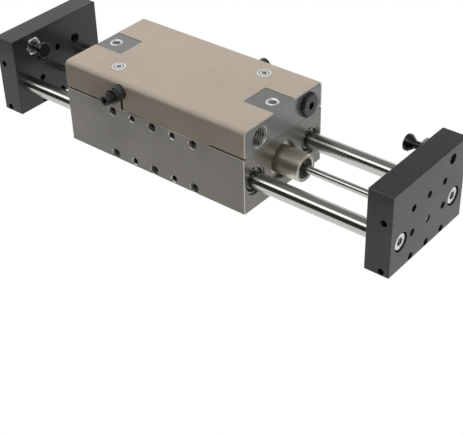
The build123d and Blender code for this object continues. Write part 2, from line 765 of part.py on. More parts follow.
# Piston on the rod, with two lip seals and a magnet between them
piston_start = stroke_middle - piston_length / 2
with BuildPart() as piston:
    with BuildSketch(Plane.YZ.offset(piston_start)):
        with Locations((0, axis_height)):
            Circle(tube_bore / 2 - piston_gap)
    extrude(amount=piston_length)
    groove_radius = tube_bore / 2 - piston_groove_depth
    for groove in (-piston_groove_pitch / 2, 0, piston_groove_pitch / 2):
        with BuildSketch(Plane.YZ.offset(stroke_middle + groove - piston_groove_width / 2)):
            with Locations((0, axis_height)):
                Circle(tube_bore / 2)
                Circle(groove_radius, mode=Mode.SUBTRACT)
        extrude(amount=piston_groove_width, mode=Mode.SUBTRACT)
    with BuildSketch(Plane.YZ.offset(piston_start)):
        with Locations((0, axis_height)):
            Circle(piston_rod_diameter / 2 + fit_gap)
    extrude(amount=piston_length, mode=Mode.SUBTRACT)
save(piston.part, "piston")

with BuildPart() as piston_seals:
    for groove in (-piston_groove_pitch / 2, piston_groove_pitch / 2):
        with BuildSketch(Plane.YZ.offset(stroke_middle + groove - piston_groove_width / 2 + fit_gap)):
            with Locations((0, axis_height)):
                Circle(tube_bore / 2 - seal_gap)
                Circle(groove_radius + fit_gap, mode=Mode.SUBTRACT)
        extrude(amount=piston_groove_width - 2 * fit_gap)
save(piston_seals.part, "piston_seals")

with BuildPart() as piston_magnet:
    with BuildSketch(Plane.YZ.offset(stroke_middle - piston_groove_width / 2 + fit_gap)):
        with Locations((0, axis_height)):
            Circle(tube_bore / 2 - piston_gap)
            Circle(groove_radius + fit_gap, mode=Mode.SUBTRACT)
    extrude(amount=piston_groove_width - 2 * fit_gap)
save(piston_magnet.part, "piston_magnet")

# Buffers: threaded body through the plate, lock nut and sprung plunger with a flared head
for end_name, end, plate_face in ends:
    body_back = plate_face + plate_thickness - buffer_sink
    body_front = plate_face - buffer_reach
    bore_radius = buffer_thread / 2 - buffer_wall
    with BuildPart() as buffer_body:
        with BuildSketch(end_plane(end, body_front)):
            with Locations((stop_offset, stop_height)):
                Circle(buffer_thread / 2)
        extrude(amount=body_back - body_front)
        chamfer(buffer_body.edges(), length=edge_break)
        with BuildSketch(end_plane(end, body_front)):
            with Locations((stop_offset, stop_height)):
                Circle(bore_radius)
        extrude(amount=body_back - body_front - buffer_bottom, mode=Mode.SUBTRACT)
        with BuildSketch(end_plane(end, body_back)):
            with Locations((stop_offset, stop_height)):
                Rectangle(buffer_slot_width, buffer_thread)
        extrude(amount=-buffer_slot_depth, mode=Mode.SUBTRACT)
    save(buffer_body.part, f"buffer_body_{end_name}")

    with BuildPart() as lock_nut:
        with BuildSketch(end_plane(end, plate_face)):
            with Locations((stop_offset, stop_height)):
                RegularPolygon(buffer_nut_hex / 2, 6, major_radius=False)
        extrude(amount=-buffer_nut_height)
        corner_cut = buffer_nut_hex / 2 / cos_hex
        nut_front = plate_face - buffer_nut_height
        with BuildSketch(axial_plane(end, stop_offset, stop_height)):
            with BuildLine():
                Polyline(
                    (nut_front + buffer_nut_chamfer, corner_cut),
                    (nut_front, buffer_nut_hex / 2 - edge_break),
                    (nut_front, corner_cut),
                    close=True,
                )
            make_face()
        revolve(axis=axial_axis(end, stop_offset, stop_height), mode=Mode.SUBTRACT)
        with BuildSketch(end_plane(end, plate_face)):
            with Locations((stop_offset, stop_height)):
                Circle(buffer_thread / 2 + thread_gap)
        extrude(amount=-buffer_nut_height, mode=Mode.SUBTRACT)
    save(lock_nut.part, f"buffer_nut_{end_name}")

    with BuildPart() as plunger:
        neck = bore_radius - running_gap
        head_radius = plunger_head / 2
        cone_start = body_front - plunger_neck
        rim_start = cone_start - plunger_cone
        rim_end = rim_start - plunger_rim
        with BuildSketch(axial_plane(end, stop_offset, stop_height)):
            with BuildLine():
                Polyline(
                    (rim_end, head_radius),
                    (rim_start, head_radius),
                    (cone_start, neck),
                    (body_front + plunger_tail, neck),
                    (body_front + plunger_tail, 0),
                    (rim_end - plunger_round, 0),
                    (rim_end - plunger_round, head_radius - plunger_round),
                )
                RadiusArc(
                    (rim_end - plunger_round, head_radius - plunger_round),
                    (rim_end, head_radius),
                    plunger_round,
                )
            make_face()
        revolve(axis=axial_axis(end, stop_offset, stop_height))
    save(plunger.part, f"buffer_plunger_{end_name}")
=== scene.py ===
import logging
import math
from dataclasses import dataclass, replace
from enum import Enum

import bmesh
import bpy
from mathutils import Matrix, Vector


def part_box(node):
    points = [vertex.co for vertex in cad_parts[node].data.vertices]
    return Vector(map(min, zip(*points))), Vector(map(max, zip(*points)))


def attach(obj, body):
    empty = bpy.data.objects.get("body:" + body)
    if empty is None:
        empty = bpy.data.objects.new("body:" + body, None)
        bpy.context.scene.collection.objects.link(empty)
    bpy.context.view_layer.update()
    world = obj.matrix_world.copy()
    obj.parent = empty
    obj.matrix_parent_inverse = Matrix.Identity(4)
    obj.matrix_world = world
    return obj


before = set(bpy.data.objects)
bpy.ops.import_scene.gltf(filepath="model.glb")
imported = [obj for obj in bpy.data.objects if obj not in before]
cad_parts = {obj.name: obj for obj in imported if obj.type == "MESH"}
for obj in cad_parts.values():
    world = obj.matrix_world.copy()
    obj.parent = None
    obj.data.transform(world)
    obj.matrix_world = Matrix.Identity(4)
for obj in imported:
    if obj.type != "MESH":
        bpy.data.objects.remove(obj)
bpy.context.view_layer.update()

LOG = logging.getLogger("linear_module")
MM = 0.001
HALF_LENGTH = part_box("lower_block")[1].x
HALF_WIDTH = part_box("lower_block")[1].y
NOSE_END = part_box("cylinder_tube")[1].x
ROD_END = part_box("piston_rod")[1].x
# X and Y of the cover's upright slot, on the face of the upper block behind it
COVER_SLOT = (29.5 * MM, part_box("upper_block")[1].y)
# Radius of the painted shade on that face
SLOT_BACK_SHADE_RADIUS = 1.8 * MM
# Painted shade on the slot's walls: distance of the sheet's middle from that face, radius, and height where it
# ends
SLOT_SHADE_OUT = 0.85 * MM
SLOT_SHADE_RADIUS = 1.32 * MM
SLOT_SHADE_TOP = 62 * MM
# X and Y of a cover screw, and the radii on its head: outside and inside of the ring of painted dark
# reflection, and the key, with a ring of painted highlight between the last two
COVER_SCREW = tuple(sum(corner[axis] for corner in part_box("cover_screw_front")) / 2 for axis in range(2))
RING_OUTSIDE, RING_INSIDE, KEY_RADIUS = 4.2 * MM, 3.3 * MM, 2.35 * MM
ENDS = (("front", 1), ("rear", -1))
SIDES = ("left", "right")
WHITE = (1.0, 1.0, 1.0, 1.0)

# A band that starts this far behind a flat end face takes in the whole face and none of the sides
FACE_SKIN = 0.05 * MM
# Width of the painted highlight on the broken rim at the end of the cylinder tube
TUBE_RIM = 0.55 * MM
# How many times longer than wide the marks of brushing and turning are
DRAWN_OUT = 30.0
# The sum of grain and clouding lies nearly always between these two values
NOISE_LOW, NOISE_HIGH = 0.7, 1.3
# A perfect mirror looks false, so no finish is smoother than this
LEAST_ROUGHNESS = 0.02
# A ground shaft draws its reflections out along its length, a quarter turn from its grinding rings
QUARTER_TURN = 0.25


def srgb(code: str) -> tuple[float, float, float, float]:
    """Turns a written colour into the linear one that shaders use.

    Args:
        code: sRGB colour as six hex digits, with or without a leading hash sign.

    Returns:
        Linear red, green, blue and an alpha of 1.
    """
    digits = code.lstrip("#")
    shares = (int(digits[place:place + 2], 16) / 255 for place in (0, 2, 4))
    linear = [s / 12.92 if s <= 0.04045 else ((s + 0.055) / 1.055) ** 2.4 for s in shares]
    return (linear[0], linear[1], linear[2], 1.0)


def add_node(
    tree: bpy.types.NodeTree, kind: str, inputs: dict[int | str, object] | None = None, **settings: object
) -> bpy.types.Node:
    """Adds one node with its settings and links.

    Args:
        tree: Node tree that gets the node.
        kind: Blender's name of the node type.
        inputs: Socket name or number, with the value or the output socket that feeds it.
        settings: Properties of the node itself.

    Returns:
        The new node.
    """
    node = tree.nodes.new(kind)
    for key, value in settings.items():
        setattr(node, key, value)
    for socket, value in (inputs or {}).items():
        if isinstance(value, bpy.types.NodeSocket):
            tree.links.new(value, node.inputs[socket])
        else:
            node.inputs[socket].default_value = value
    return node


class Lay(Enum):
    """Which way the marks of the making run, as how far the grain is drawn out along X, Y and Z."""

    BLASTED = (1.0, 1.0, 1.0)
    BRUSHED_ALONG_X = (DRAWN_OUT, 1.0, 1.0)
    TURNED_ABOUT_X = (1.0, DRAWN_OUT, DRAWN_OUT)
    TURNED_ABOUT_Y = (DRAWN_OUT, 1.0, DRAWN_OUT)
    TURNED_ABOUT_Z = (DRAWN_OUT, DRAWN_OUT, 1.0)


class Zone(Enum):
    """Shape of the place where a piece looks different, measured from the frame's origin."""

    BAND = "between two distances along X"
    CORNER = "along the upright corner edges"
    SPOT = "round two upright lines that a half turn about Z swaps"


@dataclass(frozen=True)
class OtherLook:
    """A second look of the same piece, such as bare metal at a cut end, painted shade or a painted highlight.

    Attributes:
        zone: Shape of the place.
        colour: Its sRGB colour.
        metallic: How metallic it is.
        sizes: Where it is: the two distances of a band, or X and Y of a corner edge or an upright line.
        width: Width of the strip along a corner edge, or radius of a spot.
        top: Height where it ends.
    """

    zone: Zone
    colour: str
    metallic: float
    sizes: tuple[float, float]
    width: float = 0.5 * MM
    top: float = 1.0

    def mask(self, tree: bpy.types.NodeTree, place: bpy.types.NodeSocket) -> bpy.types.NodeSocket:
        """Builds the mask of the zone.

        Args:
            tree: Node tree of the material.
            place: Output with the place in the piece's own coordinates.

        Returns:
            Output that is 1 inside the zone and 0 elsewhere.
        """
        first, second = self.sizes
        spread = add_node(tree, "ShaderNodeVectorMath", {0: place}, operation="ABSOLUTE")
        parts = add_node(tree, "ShaderNodeSeparateXYZ", {0: spread.outputs["Vector"]})
        if self.zone is Zone.BAND:
            centre = (first + second) / 2
            past = add_node(tree, "ShaderNodeMath", {0: parts.outputs["X"], 1: centre}, operation="SUBTRACT")
            away = add_node(tree, "ShaderNodeMath", {0: past.outputs[0]}, operation="ABSOLUTE")
            limit = (second - first) / 2
        elif self.zone is Zone.CORNER:
            pair = {0: parts.outputs["X"], 1: parts.outputs["Y"]}
            reach = add_node(tree, "ShaderNodeMath", pair, operation="ADD")
            away = add_node(
                tree, "ShaderNodeMath", {0: first + second, 1: reach.outputs[0]}, operation="SUBTRACT"
            )
            limit = self.width
        else:
            own = add_node(tree, "ShaderNodeSeparateXYZ", {0: place})
            side = add_node(tree, "ShaderNodeMath", {0: own.outputs["Y"]}, operation="SIGN")
            turned = add_node(
                tree, "ShaderNodeMath", {0: own.outputs["X"], 1: side.outputs[0]}, operation="MULTIPLY"
            )
            flat = add_node(tree, "ShaderNodeCombineXYZ", {"X": turned.outputs[0], "Y": parts.outputs["Y"]})
            line = {0: flat.outputs["Vector"], 1: (first, second, 0.0)}
            away = add_node(tree, "ShaderNodeVectorMath", line, operation="DISTANCE")
            limit = self.width
        inside = add_node(tree, "ShaderNodeMath", {0: away.outputs["Value"], 1: limit}, operation="LESS_THAN")
        below = add_node(tree, "ShaderNodeMath", {0: parts.outputs["Z"], 1: self.top}, operation="LESS_THAN")
        tests = {0: inside.outputs[0], 1: below.outputs[0]}
        return add_node(tree, "ShaderNodeMath", tests, operation="MULTIPLY").outputs[0]


@dataclass(frozen=True)
class Finish:
    """A material and how its surface was made.

    The real marks of blasting, brushing and grinding are 0.01 to 0.1 mm wide, too fine to show in the render.
    They are drawn as coarse as they need to show, with grain_mm for the distance between two of them.

    Attributes:
        name: The real material and how it was made.
        colour: sRGB colour of the most part.
        shade: sRGB colour where grain and clouding are strongest.
        metallic: How metallic it is.
        roughness: Mean roughness.
        lay: Which way the marks run.
        grain_mm: Distance between marks, in millimetres.
        relief_mm: Height of the marks, in millimetres.
        cloud_mm: Size of the uneven patches, in millimetres.
        spread: How far the roughness varies to each side.
        coat: Weight of a clear gloss on top.
        specular: Level of the plain reflection.
        stretch: How much a reflection is drawn out along X, as on a ground shaft.
        others: Places that look different.
    """

    name: str
    colour: str
    shade: str
    metallic: float
    roughness: float
    lay: Lay = Lay.BLASTED
    grain_mm: float = 1.2
    relief_mm: float = 0.01
    cloud_mm: float = 28.0
    spread: float = 0.06
    coat: float = 0.0
    specular: float = 0.5
    stretch: float = 0.0
    others: tuple[OtherLook, ...] = ()

    def material(self) -> bpy.types.Material:
        """Builds the material, or returns the one that is there already.

        Returns:
            Procedural material with grain, clouding, uneven gloss and fine relief.
        """
        known = bpy.data.materials.get(self.name)
        if known is not None:
            return known
        made = bpy.data.materials.new(self.name)
        made.use_nodes = True
        tree = made.node_tree
        tree.nodes.clear()
        place = add_node(tree, "ShaderNodeTexCoord").outputs["Object"]
        scale = [1 / (self.grain_mm * MM * drawn) for drawn in self.lay.value]
        fine = add_node(tree, "ShaderNodeMapping", {"Vector": place, "Scale": scale})
        grain = add_node(
            tree,
            "ShaderNodeTexNoise",
            {"Vector": fine.outputs["Vector"], "Scale": 1.0, "Detail": 4.0, "Roughness": 0.6},
        )
        cloud = add_node(
            tree,
            "ShaderNodeTexNoise",
            {"Vector": place, "Scale": 1 / (self.cloud_mm * MM), "Detail": 3.0, "Roughness": 0.5},
        )
        mixed = add_node(
            tree,
            "ShaderNodeMath",
            {0: grain.outputs["Fac"], 1: cloud.outputs["Fac"]},
            operation="ADD",
        )
        share = add_node(
            tree,
            "ShaderNodeMapRange",
            {"Value": mixed.outputs[0], "From Min": NOISE_LOW, "From Max": NOISE_HIGH},
        )
        colour = self._colour(tree, share.outputs["Result"])
        metal = self.metallic
        for other in self.others:
            mask = other.mask(tree, place)
            paints = {"Fac": mask, "Color1": colour, "Color2": srgb(other.colour)}
            colour = add_node(tree, "ShaderNodeMixRGB", paints).outputs["Color"]
            metals = {"Value": mask, "To Min": metal, "To Max": other.metallic}
            metal = add_node(tree, "ShaderNodeMapRange", metals).outputs["Result"]
        gloss = add_node(
            tree,
            "ShaderNodeMapRange",
            {
                "Value": mixed.outputs[0],
                "From Min": NOISE_LOW,
                "From Max": NOISE_HIGH,
                "To Min": max(self.roughness - self.spread, LEAST_ROUGHNESS),
                "To Max": self.roughness + self.spread,
            },
        )
        bump = add_node(
            tree,
            "ShaderNodeBump",
            {"Height": grain.outputs["Fac"], "Strength": 0.6, "Distance": self.relief_mm * MM},
        )
        rings = add_node(tree, "ShaderNodeTangent", direction_type="RADIAL", axis="X")
        shader = add_node(
            tree,
            "ShaderNodeBsdfPrincipled",
            {
                "Base Color": colour,
                "Metallic": metal,
                "Roughness": gloss.outputs["Result"],
                "Normal": bump.outputs["Normal"],
                "Coat Weight": self.coat,
                "Specular IOR Level": self.specular,
                "Anisotropic": self.stretch,
                "Anisotropic Rotation": QUARTER_TURN,
                "Tangent": rings.outputs["Tangent"],
            },
        )
        add_node(tree, "ShaderNodeOutputMaterial", {"Surface": shader.outputs["BSDF"]})
        return made

    def _colour(self, tree: bpy.types.NodeTree, share: bpy.types.NodeSocket) -> bpy.types.NodeSocket:
        """Mixes the two written colours.

        Args:
            tree: Node tree of the material.
            share: Output that says how much of the second colour shows.

        Returns:
            Colour output.
        """
        ramp = add_node(tree, "ShaderNodeValToRGB", {"Fac": share})
        ramp.color_ramp.elements[0].color = srgb(self.colour)
        ramp.color_ramp.elements[1].color = srgb(self.shade)
        return ramp.outputs["Color"]


def end_face(end: float) -> tuple[float, float]:
    """Gives the distances along X that take in a flat end face and nothing else."""
    return (end - FACE_SKIN, end + MM)


# Bent aluminium sheet, bead blasted and anodised: a warm, even grey with a soft sheen, bare cut ends painted
# lighter, partly as a painted highlight, and painted shade on the walls of its slot
ANODISED_SHEET = Finish(
    "blasted_anodised_aluminium_sheet",
    "B8AC9C",
    "B1A595",
    0.1,
    0.55,
    relief_mm=0.004,
    specular=0.4,
    others=(
        # Bare cut ends, painted lighter, partly as a painted highlight
        OtherLook(Zone.BAND, "D9D3C8", 0.3, end_face(HALF_LENGTH)),
        # Painted shade on the walls of the cover's slot
        OtherLook(
            Zone.SPOT,
            "1A1815",
            0.0,
            (COVER_SLOT[0], COVER_SLOT[1] + SLOT_SHADE_OUT),
            SLOT_SHADE_RADIUS,
            SLOT_SHADE_TOP,
        ),
    ),
)
# Milled and hard anodised aluminium: a slightly warm, half gloss grey with a painted highlight along its
# broken upright corners
ANODISED_BLOCK = Finish(
    "milled_hard_anodised_aluminium",
    "817E76",
    "79766E",
    0.62,
    0.3,
    Lay.BRUSHED_ALONG_X,
    relief_mm=0.0015,
    # Painted highlight along the upright corner edges
    others=(OtherLook(Zone.CORNER, "C9C7BF", 0.5, (HALF_LENGTH, HALF_WIDTH)),),
)
# Milled and grey anodised aluminium of the upper block: neutral and half gloss, with painted shade where it
# shows through the cover's slot
ANODISED_UPPER = Finish(
    "milled_grey_anodised_aluminium",
    "868886",
    "808281",
    0.5,
    0.3,
    relief_mm=0.0015,
    # Painted shade behind the cover's slot
    others=(OtherLook(Zone.SPOT, "10100F", 0.0, COVER_SLOT, SLOT_BACK_SHADE_RADIUS),),
)
# Machined mouths and seats of the holes: bright and clean, they catch the light from above
CUT_MOUTH = Finish("countersunk_aluminium", "D6D4CC", "C4C2BA", 0.6, 0.3, relief_mm=0.001)
# Freshly cut thread in the block: grey flanks with dark roots
CUT_THREAD = Finish(
    "tapped_aluminium_thread", "8F8E8A", "7C7B77", 0.8, 0.3, Lay.TURNED_ABOUT_X, relief_mm=0.001
)
# Small tapped threads: nearly black as painted shade in the holes, with a faint gloss
SHADED_THREAD = Finish("tapped_anodised_thread", "383836", "2E2E2C", 0.4, 0.4, relief_mm=0.001)
# Black anodised aluminium: deep grey, silky, lighter where it looks into the light
BLACK_PLATE = Finish("milled_black_anodised_aluminium", "3A3A3A", "333334", 0.3, 0.3, relief_mm=0.004)
# Hardened, ground and polished shaft steel: a clean mirror with faint grinding rings
SHAFT_STEEL = Finish(
    "ground_hardened_steel_shaft",
    "C2C1BD",
    "BBBAB6",
    1.0,
    0.19,
    Lay.TURNED_ABOUT_X,
    relief_mm=0.0004,
    spread=0.02,
    stretch=0.93,
)
# The same steel on the piston rod: a little sharper, with a painted highlight on its flat turned end
PISTON_STEEL = replace(
    SHAFT_STEEL,
    name="ground_hardened_steel_rod",
    roughness=0.17,
    # Painted highlight on the rod's end face
    others=(OtherLook(Zone.BAND, "F6F6F2", 0.1, end_face(ROD_END)),),
)
# Turned and zinc plated screw steel: a bright, slightly soft mirror
PLATED_STEEL = Finish("turned_zinc_plated_steel", "DADAD8", "CFCFCE", 1.0, 0.24, relief_mm=0.003)
# Domed screw heads of the cover, turned and nickel plated: bright from every side, with a ring of painted dark
# reflection, a ring of painted highlight inside it, and a light grey key
NICKEL_HEAD = Finish(
    "turned_nickel_plated_steel",
    "F6F5F2",
    "E8E7E4",
    0.35,
    0.22,
    relief_mm=0.01,
    others=(
        # Painted dark reflection ring
        OtherLook(Zone.SPOT, "706F73", 0.5, COVER_SCREW, RING_OUTSIDE),
        # Painted highlight ring inside it
        OtherLook(Zone.SPOT, "F0F0EE", 0.3, COVER_SCREW, RING_INSIDE),
        OtherLook(Zone.SPOT, "C9C9C8", 0.1, COVER_SCREW, KEY_RADIUS),
    ),
)
# Turned steel, black oxide: dark grey with a soft metal sheen
BLACK_OXIDE = Finish(
    "turned_black_oxide_steel", "4A4A4B", "3F3F40", 0.8, 0.36, Lay.TURNED_ABOUT_X, relief_mm=0.004
)
# Stamped and phosphated spring steel: dark grey, its edges catch the light
SPRING_STEEL = Finish("stamped_phosphated_spring_steel", "8E8E8C", "7A7A78", 1.0, 0.24)
# Turned and anodised cylinder tube: greenish grey satin with turning rings, a painted highlight on its broken
# rim and painted shade on its end face
TURNED_TUBE = Finish(
    "turned_anodised_aluminium_tube",
    "CECBBD",
    "C4C1B3",
    0.8,
    0.33,
    Lay.TURNED_ABOUT_X,
    relief_mm=0.0008,
    others=(
        # Painted highlight on the broken rim
        OtherLook(Zone.BAND, "D6D5CE", 0.6, (NOSE_END - TUBE_RIM, NOSE_END - FACE_SKIN)),
        # Painted shade on the end face
        OtherLook(Zone.BAND, "8E8C82", 0.8, end_face(NOSE_END)),
    ),
)
# Ground bearing steel of the bushes: an even, soft mirror
BEARING_STEEL = Finish(
    "ground_bearing_steel", "A8A8A8", "9A9A9A", 1.0, 0.2, Lay.TURNED_ABOUT_X, relief_mm=0.002
)
# Moulded polyamide of the ball cages: dark grey and dull
MOULDED_CAGE = Finish("moulded_grey_polyamide", "3A3A3E", "333338", 0.0, 0.5)
# Moulded nitrile rubber of the seals: black, dull, with a fine skin
NITRILE_RUBBER = Finish("moulded_nitrile_rubber", "191919", "121212", 0.0, 0.55, relief_mm=0.008)
# Wipers: the same rubber, mid grey, with a gloss that picks up the shaft
WIPER_RUBBER = Finish("greased_nitrile_rubber", "6E6E69", "585854", 0.2, 0.26, relief_mm=0.006)
# Turned aluminium of glands and piston: grey metal with fine rings
TURNED_GLAND = Finish(
    "turned_aluminium_gland", "8A8A88", "7E7E7D", 1.0, 0.3, Lay.TURNED_ABOUT_X, relief_mm=0.003
)
# Moulded, plastic bonded magnet: brownish black and dull
BONDED_MAGNET = Finish("moulded_bonded_magnet", "2C2A28", "242321", 0.1, 0.5)
# Turned ring of the air ports, natural anodised: nearly white with a soft sheen
PALE_RING = Finish(
    "turned_natural_anodised_aluminium", "E4E5E2", "D8D9D7", 0.35, 0.3, Lay.TURNED_ABOUT_Z, relief_mm=0.002
)
# Moulded, glass filled polyamide of the fittings: black with a half gloss
MOULDED_FITTING = Finish(
    "moulded_black_polyamide", "323231", "282827", 0.0, 0.22, Lay.TURNED_ABOUT_Y, relief_mm=0.004, coat=0.2
)
# Stamped and nickel plated brass washer: a bright line between two black parts
BRIGHT_WASHER = Finish("stamped_nickel_plated_brass", "E2E2DE", "D4D4D0", 1.0, 0.2, Lay.TURNED_ABOUT_Y)
# Plunger of the buffers: turned black acetal, half gloss
TURNED_ACETAL = Finish(
    "turned_black_acetal", "171718", "101011", 0.0, 0.3, Lay.TURNED_ABOUT_X, relief_mm=0.004
)


def dress(finish: Finish, *names: str) -> None:
    """Gives pieces of the frame their finish.

    Args:
        finish: Finish that they get.
        names: Names of the pieces.
    """
    for name in names:
        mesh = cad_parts[name].data
        mesh.materials.clear()
        mesh.materials.append(finish.material())
        LOG.info("%s: %s", name, finish.name)


def both_ends(stem: str) -> list[str]:
    """Names of a piece that both ends of the module have."""
    return [f"{stem}_{end}" for end, _ in ENDS]


def all_corners(stem: str) -> list[str]:
    """Names of a piece that stands at both ends of both guide rods."""
    return [f"{stem}_{end}_{side}" for end, _ in ENDS for side in SIDES]


@dataclass(frozen=True)
class TappedBore:
    """A right-hand thread, with the machined mouth before it, that lines a round hole.

    Attributes:
        mouth: Middle of the hole's mouth.
        outward: Direction out of the hole.
        bore_radius: Radius of the hole.
        thread_depth: Height of the thread's flanks.
        pitch: Distance between two turns.
        length: Length of the thread.
        mouth_steps: Depth and radius of each ring of the machined mouth.
        wall: Thickness of the lining.
        flank_gain: How much steeper than a plain saw the flanks are, which leaves the crests flat.
        flank_steps: Rings for one pitch.
        round_steps: Points of one ring.
    """

    mouth: Vector
    outward: Vector
    bore_radius: float
    thread_depth: float
    pitch: float
    length: float
    mouth_steps: tuple[tuple[float, float], ...]
    wall: float = 0.04 * MM
    flank_gain: float = 1.25
    flank_steps: int = 6
    round_steps: int = 32

    def mouth_rows(self) -> list[tuple[float, float, bool]]:
        """Lists the rings of the machined mouth.

        Returns:
            Depth, radius and False, because no ring belongs to the thread.
        """
        return [(depth, radius, False) for depth, radius in self.mouth_steps]

    def thread_rows(self) -> list[tuple[float, float, bool]]:
        """Lists the rings of the thread from the mouth inwards.

        Returns:
            Depth, radius and True, because every ring belongs to the thread.
        """
        start = self.mouth_steps[-1][0]
        count = round(self.length / self.pitch * self.flank_steps)
        return [(start + self.length * row / count, self.bore_radius, True) for row in range(count + 1)]

    def inner_radius(self, depth: float, turn: float) -> float:
        """Radius of the thread's surface.

        Args:
            depth: Distance below the mouth, in metres.
            turn: Angle round the hole, in turns.

        Returns:
            Radius in metres, between the thread's crest and its root.
        """
        phase = (depth / self.pitch + turn) % 1.0
        height = 1 - abs(2 * phase - 1)
        return self.bore_radius - self.thread_depth * min(1.0, self.flank_gain * height)

    def ring(
        self, shape: bmesh.types.BMesh, depth: float, radius: float, thread: bool, outer: bool
    ) -> list[bmesh.types.BMVert]:
        """Adds one ring of points.

        Args:
            shape: Mesh that gets the points.
            depth: Distance below the mouth, in metres.
            radius: Radius of the hole at this depth, in metres.
            thread: Whether the ring belongs to the thread.
            outer: Whether the ring is on the outside of the lining.

        Returns:
            The new points in order.
        """
        level = Vector((0, 0, 1))
        across = self.outward.cross(level)
        middle = self.mouth - self.outward * depth
        points = []
        for step in range(self.round_steps):
            turn = step / self.round_steps
            reach = radius + self.wall if outer else radius
            if thread and not outer:
                reach = self.inner_radius(depth, turn)
            angle = math.tau * turn
            spoke = across * math.cos(angle) + level * math.sin(angle)
            points.append(shape.verts.new(middle + spoke * reach))
        return points

    def line(self, shape: bmesh.types.BMesh, rows: list[tuple[float, float, bool]]) -> None:
        """Adds a closed lining to a mesh.

        Args:
            shape: Mesh that gets the lining.
            rows: Depth, radius and kind of each ring.
        """
        threaded = rows[0][2]
        # The outside of a thread's lining is a plain tube, so its first and last rings are enough
        outer_rows = rows[:: len(rows) - 1] if threaded else rows
        inner = [self.ring(shape, *row, False) for row in rows]
        outer = [self.ring(shape, *row, True) for row in outer_rows]
        for step in range(self.round_steps):
            after = (step + 1) % self.round_steps
            for skin in (inner, outer):
                for near, far in zip(skin, skin[1:]):
                    shape.faces.new((near[step], near[after], far[after], far[step]))
            for row in (0, -1):
                shape.faces.new((inner[row][step], outer[row][step], outer[row][after], inner[row][after]))


def line_bores(
    name: str, bores: list[TappedBore], finish: Finish, body: str, mouths: bool
) -> bpy.types.Object:
    """Makes one piece that lines the mouths or the threads of several holes, and lets it ride.

    Args:
        name: Name of the piece.
        bores: Holes that it lines.
        finish: Finish of the cut metal.
        body: Moving body that carries it.
        mouths: Whether the piece lines the mouths instead of the threads.

    Returns:
        The new piece.
    """
    shape = bmesh.new()
    for bore in bores:
        bore.line(shape, bore.mouth_rows() if mouths else bore.thread_rows())
    bmesh.ops.recalc_face_normals(shape, faces=shape.faces)
    mesh = bpy.data.meshes.new(name)
    shape.to_mesh(mesh)
    shape.free()
    mesh.materials.append(finish.material())
    piece = bpy.data.objects.new(name, mesh)
    bpy.context.scene.collection.objects.link(piece)
    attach(piece, body)
    LOG.info("%s: %d holes, %s", name, len(bores), finish.name)
    return piece


